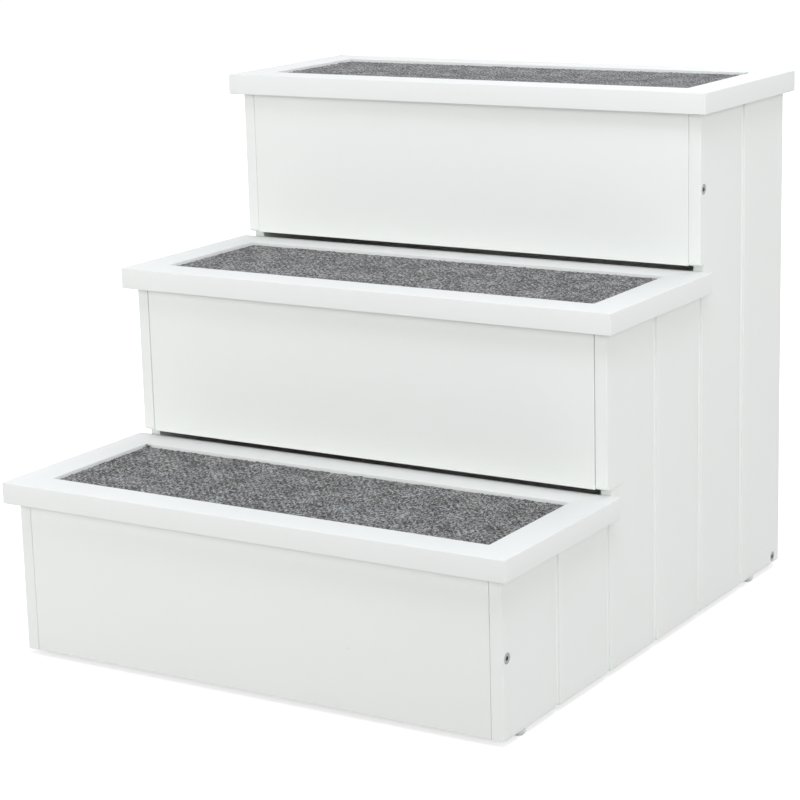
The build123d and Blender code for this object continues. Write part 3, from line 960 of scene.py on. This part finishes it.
def milky_plastic(name):
    """Translucent grey-white plastic with a faint moulding texture."""
    finish = Finish(name)
    cloud = finish.noise(260.0, detail=2.0)
    grain = finish.noise(2600.0, detail=1.0)
    finish.bump(grain, MOULD_DEPTH)
    return finish.shade(Base_Color=finish.blend(cloud, PLASTIC_DARK, PLASTIC_LIGHT),
                        Roughness=0.34 + grain * 0.14, Subsurface_Weight=0.25, Subsurface_Scale=0.002)


plastic = milky_plastic("milky_plastic")
for node in sorted(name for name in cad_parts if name.startswith("glide_foot")):
    rings = glide_rings(*box_of(node))
    dress(add_piece(f"moulded_{node}", rings, closed_stack(rings)), plastic, "glide_plastic", node)

# %% [markdown]
# ## Hidden wood and the back
#
# The rail and the back panel keep their CAD shape and get paint; the cleats and tongues inside are bare
# wood. The cleats run from front to back, so the noise of the grain is stretched along that axis.

# %% Bare wood and the back board
WOOD_DARK, WOOD_LIGHT = (0.36, 0.22, 0.11, 1), (0.60, 0.42, 0.24, 1)
BACK_DARK, BACK_LIGHT = off_white(0.74, BOARD_BLUE), off_white(0.80, BOARD_BLUE)
GRAIN_DEPTH, PAINT_DEPTH = 0.1 * MM, 0.04 * MM


def bare_wood(name):
    """Planed softwood: growth lines stretched along the piece, with a darker and a lighter tone."""
    finish = Finish(name)
    lines = finish.noise(240.0, detail=4.0, roughness=0.6, stretch=(1.0, 0.06, 1.0))
    pores = finish.noise(1900.0, detail=1.0, stretch=(1.0, 0.05, 1.0))
    colour = finish.blend(finish.between(lines, 0.3, 0.7), WOOD_DARK, WOOD_LIGHT)
    finish.bump(lines * 0.7 + pores * 0.3, GRAIN_DEPTH)
    return finish.shade(Base_Color=colour, Roughness=0.62 + pores * 0.2)


def back_paint(name):
    """Thin white board with a faint fibre pattern under matt paint."""
    finish = Finish(name)
    mottle = finish.noise(12.0, detail=3.0)
    fibres = finish.noise(700.0, detail=3.0, roughness=0.7)
    finish.bump(fibres, PAINT_DEPTH)
    colour = finish.blend(mottle * 0.5 + fibres * 0.5, BACK_DARK, BACK_LIGHT)
    return finish.shade(Base_Color=colour, Roughness=0.55 + fibres * 0.15)


def refinish(node, finish):
    """Puts a new finish on a CAD piece that keeps its shape."""
    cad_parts[node].data.materials.clear()
    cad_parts[node].data.materials.append(finish)


wood, back_board = bare_wood("planed_softwood"), back_paint("matt_back_board")
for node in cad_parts:
    if node.startswith(("tread_cleat", "riser_tongues")):
        refinish(node, wood)
refinish("back_panel", back_board)
refinish("rear_bottom_rail", board_lacquer)
print("CAD pieces refinished")

# %% [markdown]
# ## Floor and world
#
# A white product picture has a pale floor that runs up to a pale backdrop. The floor is an ordinary diffuse
# surface, so it keeps the shadow of the stairs. Only for rays that come straight from the camera, from a
# glossy surface or through a clear one is it given a glow, small beside the stairs and full further out,
# which takes the open floor to white without putting more light on the stairs.

# %% Floor and world
FLOOR_SIZE = 12.0
GLOW_NEAR, GLOW_FAR, GLOW_START, GLOW_FULL = 0.64, 0.95, 0.35, 0.75
SKY_LIGHT = 0.16


def pale_floor():
    """A wide floor at the height of the glides, with its glow limited to direct and mirrored views."""
    half = FLOOR_SIZE / 2
    corners = [(-half, -half, 0), (half, -half, 0), (half, half, 0), (-half, half, 0)]
    floor = add_piece("studio_floor", corners, [[0, 1, 2, 3]])
    finish = Finish("studio_floor")
    reach = finish.node("ShaderNodeVectorMath", {"operation": "LENGTH"}, {0: finish.place}, "Value")
    glow = finish.between(reach, GLOW_START, GLOW_FULL) * (GLOW_FAR - GLOW_NEAR) + GLOW_NEAR
    glow_colour = finish.blend(finish.seen() * glow, grey(0.0), grey(1.0))
    finish.shade(Base_Color=grey(0.50), Roughness=0.9, Specular_IOR_Level=0.0, Emission_Color=glow_colour,
                 Emission_Strength=1.0)
    floor.data.materials.append(finish.material)


def white_world(strength):
    """An even pale sky for the light it gives, and pure white in direct and mirrored views."""
    world = bpy.data.worlds.new("white_world")
    bpy.context.scene.world = world
    world.use_nodes = True
    graph = Graph(world.node_tree)
    sky = graph.tree.nodes["Background"]
    graph.feed(sky.inputs["Color"], grey(1.0))
    graph.feed(sky.inputs["Strength"], graph.seen() * (1 - strength) + strength)


pale_floor()
white_world(SKY_LIGHT)
print("floor glow from", GLOW_NEAR, "to", GLOW_FAR, "and light from the sky:", SKY_LIGHT)

# %% [markdown]
# ## Lamps
#
# Large square lamps give soft shadows and even fronts. Lamps in front and at both sides light the risers and
# the panels with barely warm light. Those overhead are a little cooler, so the tops of the treads part from
# the fronts in colour as well as in brightness. Two plain lamps behind keep the back readable.

# %% Lamps
AIM = (0.0, 0.0, 0.2)
WARM, PLAIN, COOL = (1.0, 1.0, 0.977), (1.0, 1.0, 1.0), (0.946, 0.942, 1.0)


def soft_lamp(name, place, size, power, colour):
    """A large square lamp at a place, turned towards the stairs."""
    lamp = bpy.data.lights.new(name, "AREA")
    lamp.shape, lamp.size, lamp.energy, lamp.color = "SQUARE", size, power, colour
    holder = bpy.data.objects.new(name, lamp)
    towards = np.array(AIM) - np.array(place)
    holder.rotation_mode = "QUATERNION"
    holder.rotation_quaternion = Vector(towards).to_track_quat("-Z", "Y")
    holder.location = place
    bpy.context.scene.collection.objects.link(holder)


# Place, size in metres, power in watts and colour.
LAMPS = {
    "top_lamp": ((0.2, -0.4, 2.6), 2.4, 13.0, COOL),
    "top_rear_lamp": ((0.0, 1.6, 2.6), 2.0, 28.0, COOL),
    "front_lamp": ((3.2, -5.0, 2.2), 2.5, 110.0, WARM),
    "left_lamp": ((-1.8, -3.2, 0.7), 1.6, 30.0, WARM),
    "left_near_lamp": ((-1.3, -1.3, 0.6), 0.8, 8.5, WARM),
    "right_lamp": ((3.0, 0.2, 0.9), 2.2, 38.5, WARM),
    "near_lamp": ((0.5, -0.5, 1.2), 0.5, 4.6, COOL),
    "rear_lamp": ((0.0, 3.0, 1.6), 2.6, 20.5, PLAIN),
    "left_rear_lamp": ((-2.5, 1.5, 1.2), 1.6, 17.0, PLAIN),
}
for name, (place, size, power, colour) in LAMPS.items():
    soft_lamp(name, place, size, power, colour)
print("lamps:", len(LAMPS), "watts in all:", sum(power for place, size, power, colour in LAMPS.values()))

bpy.context.scene.view_settings.view_transform = "Standard"
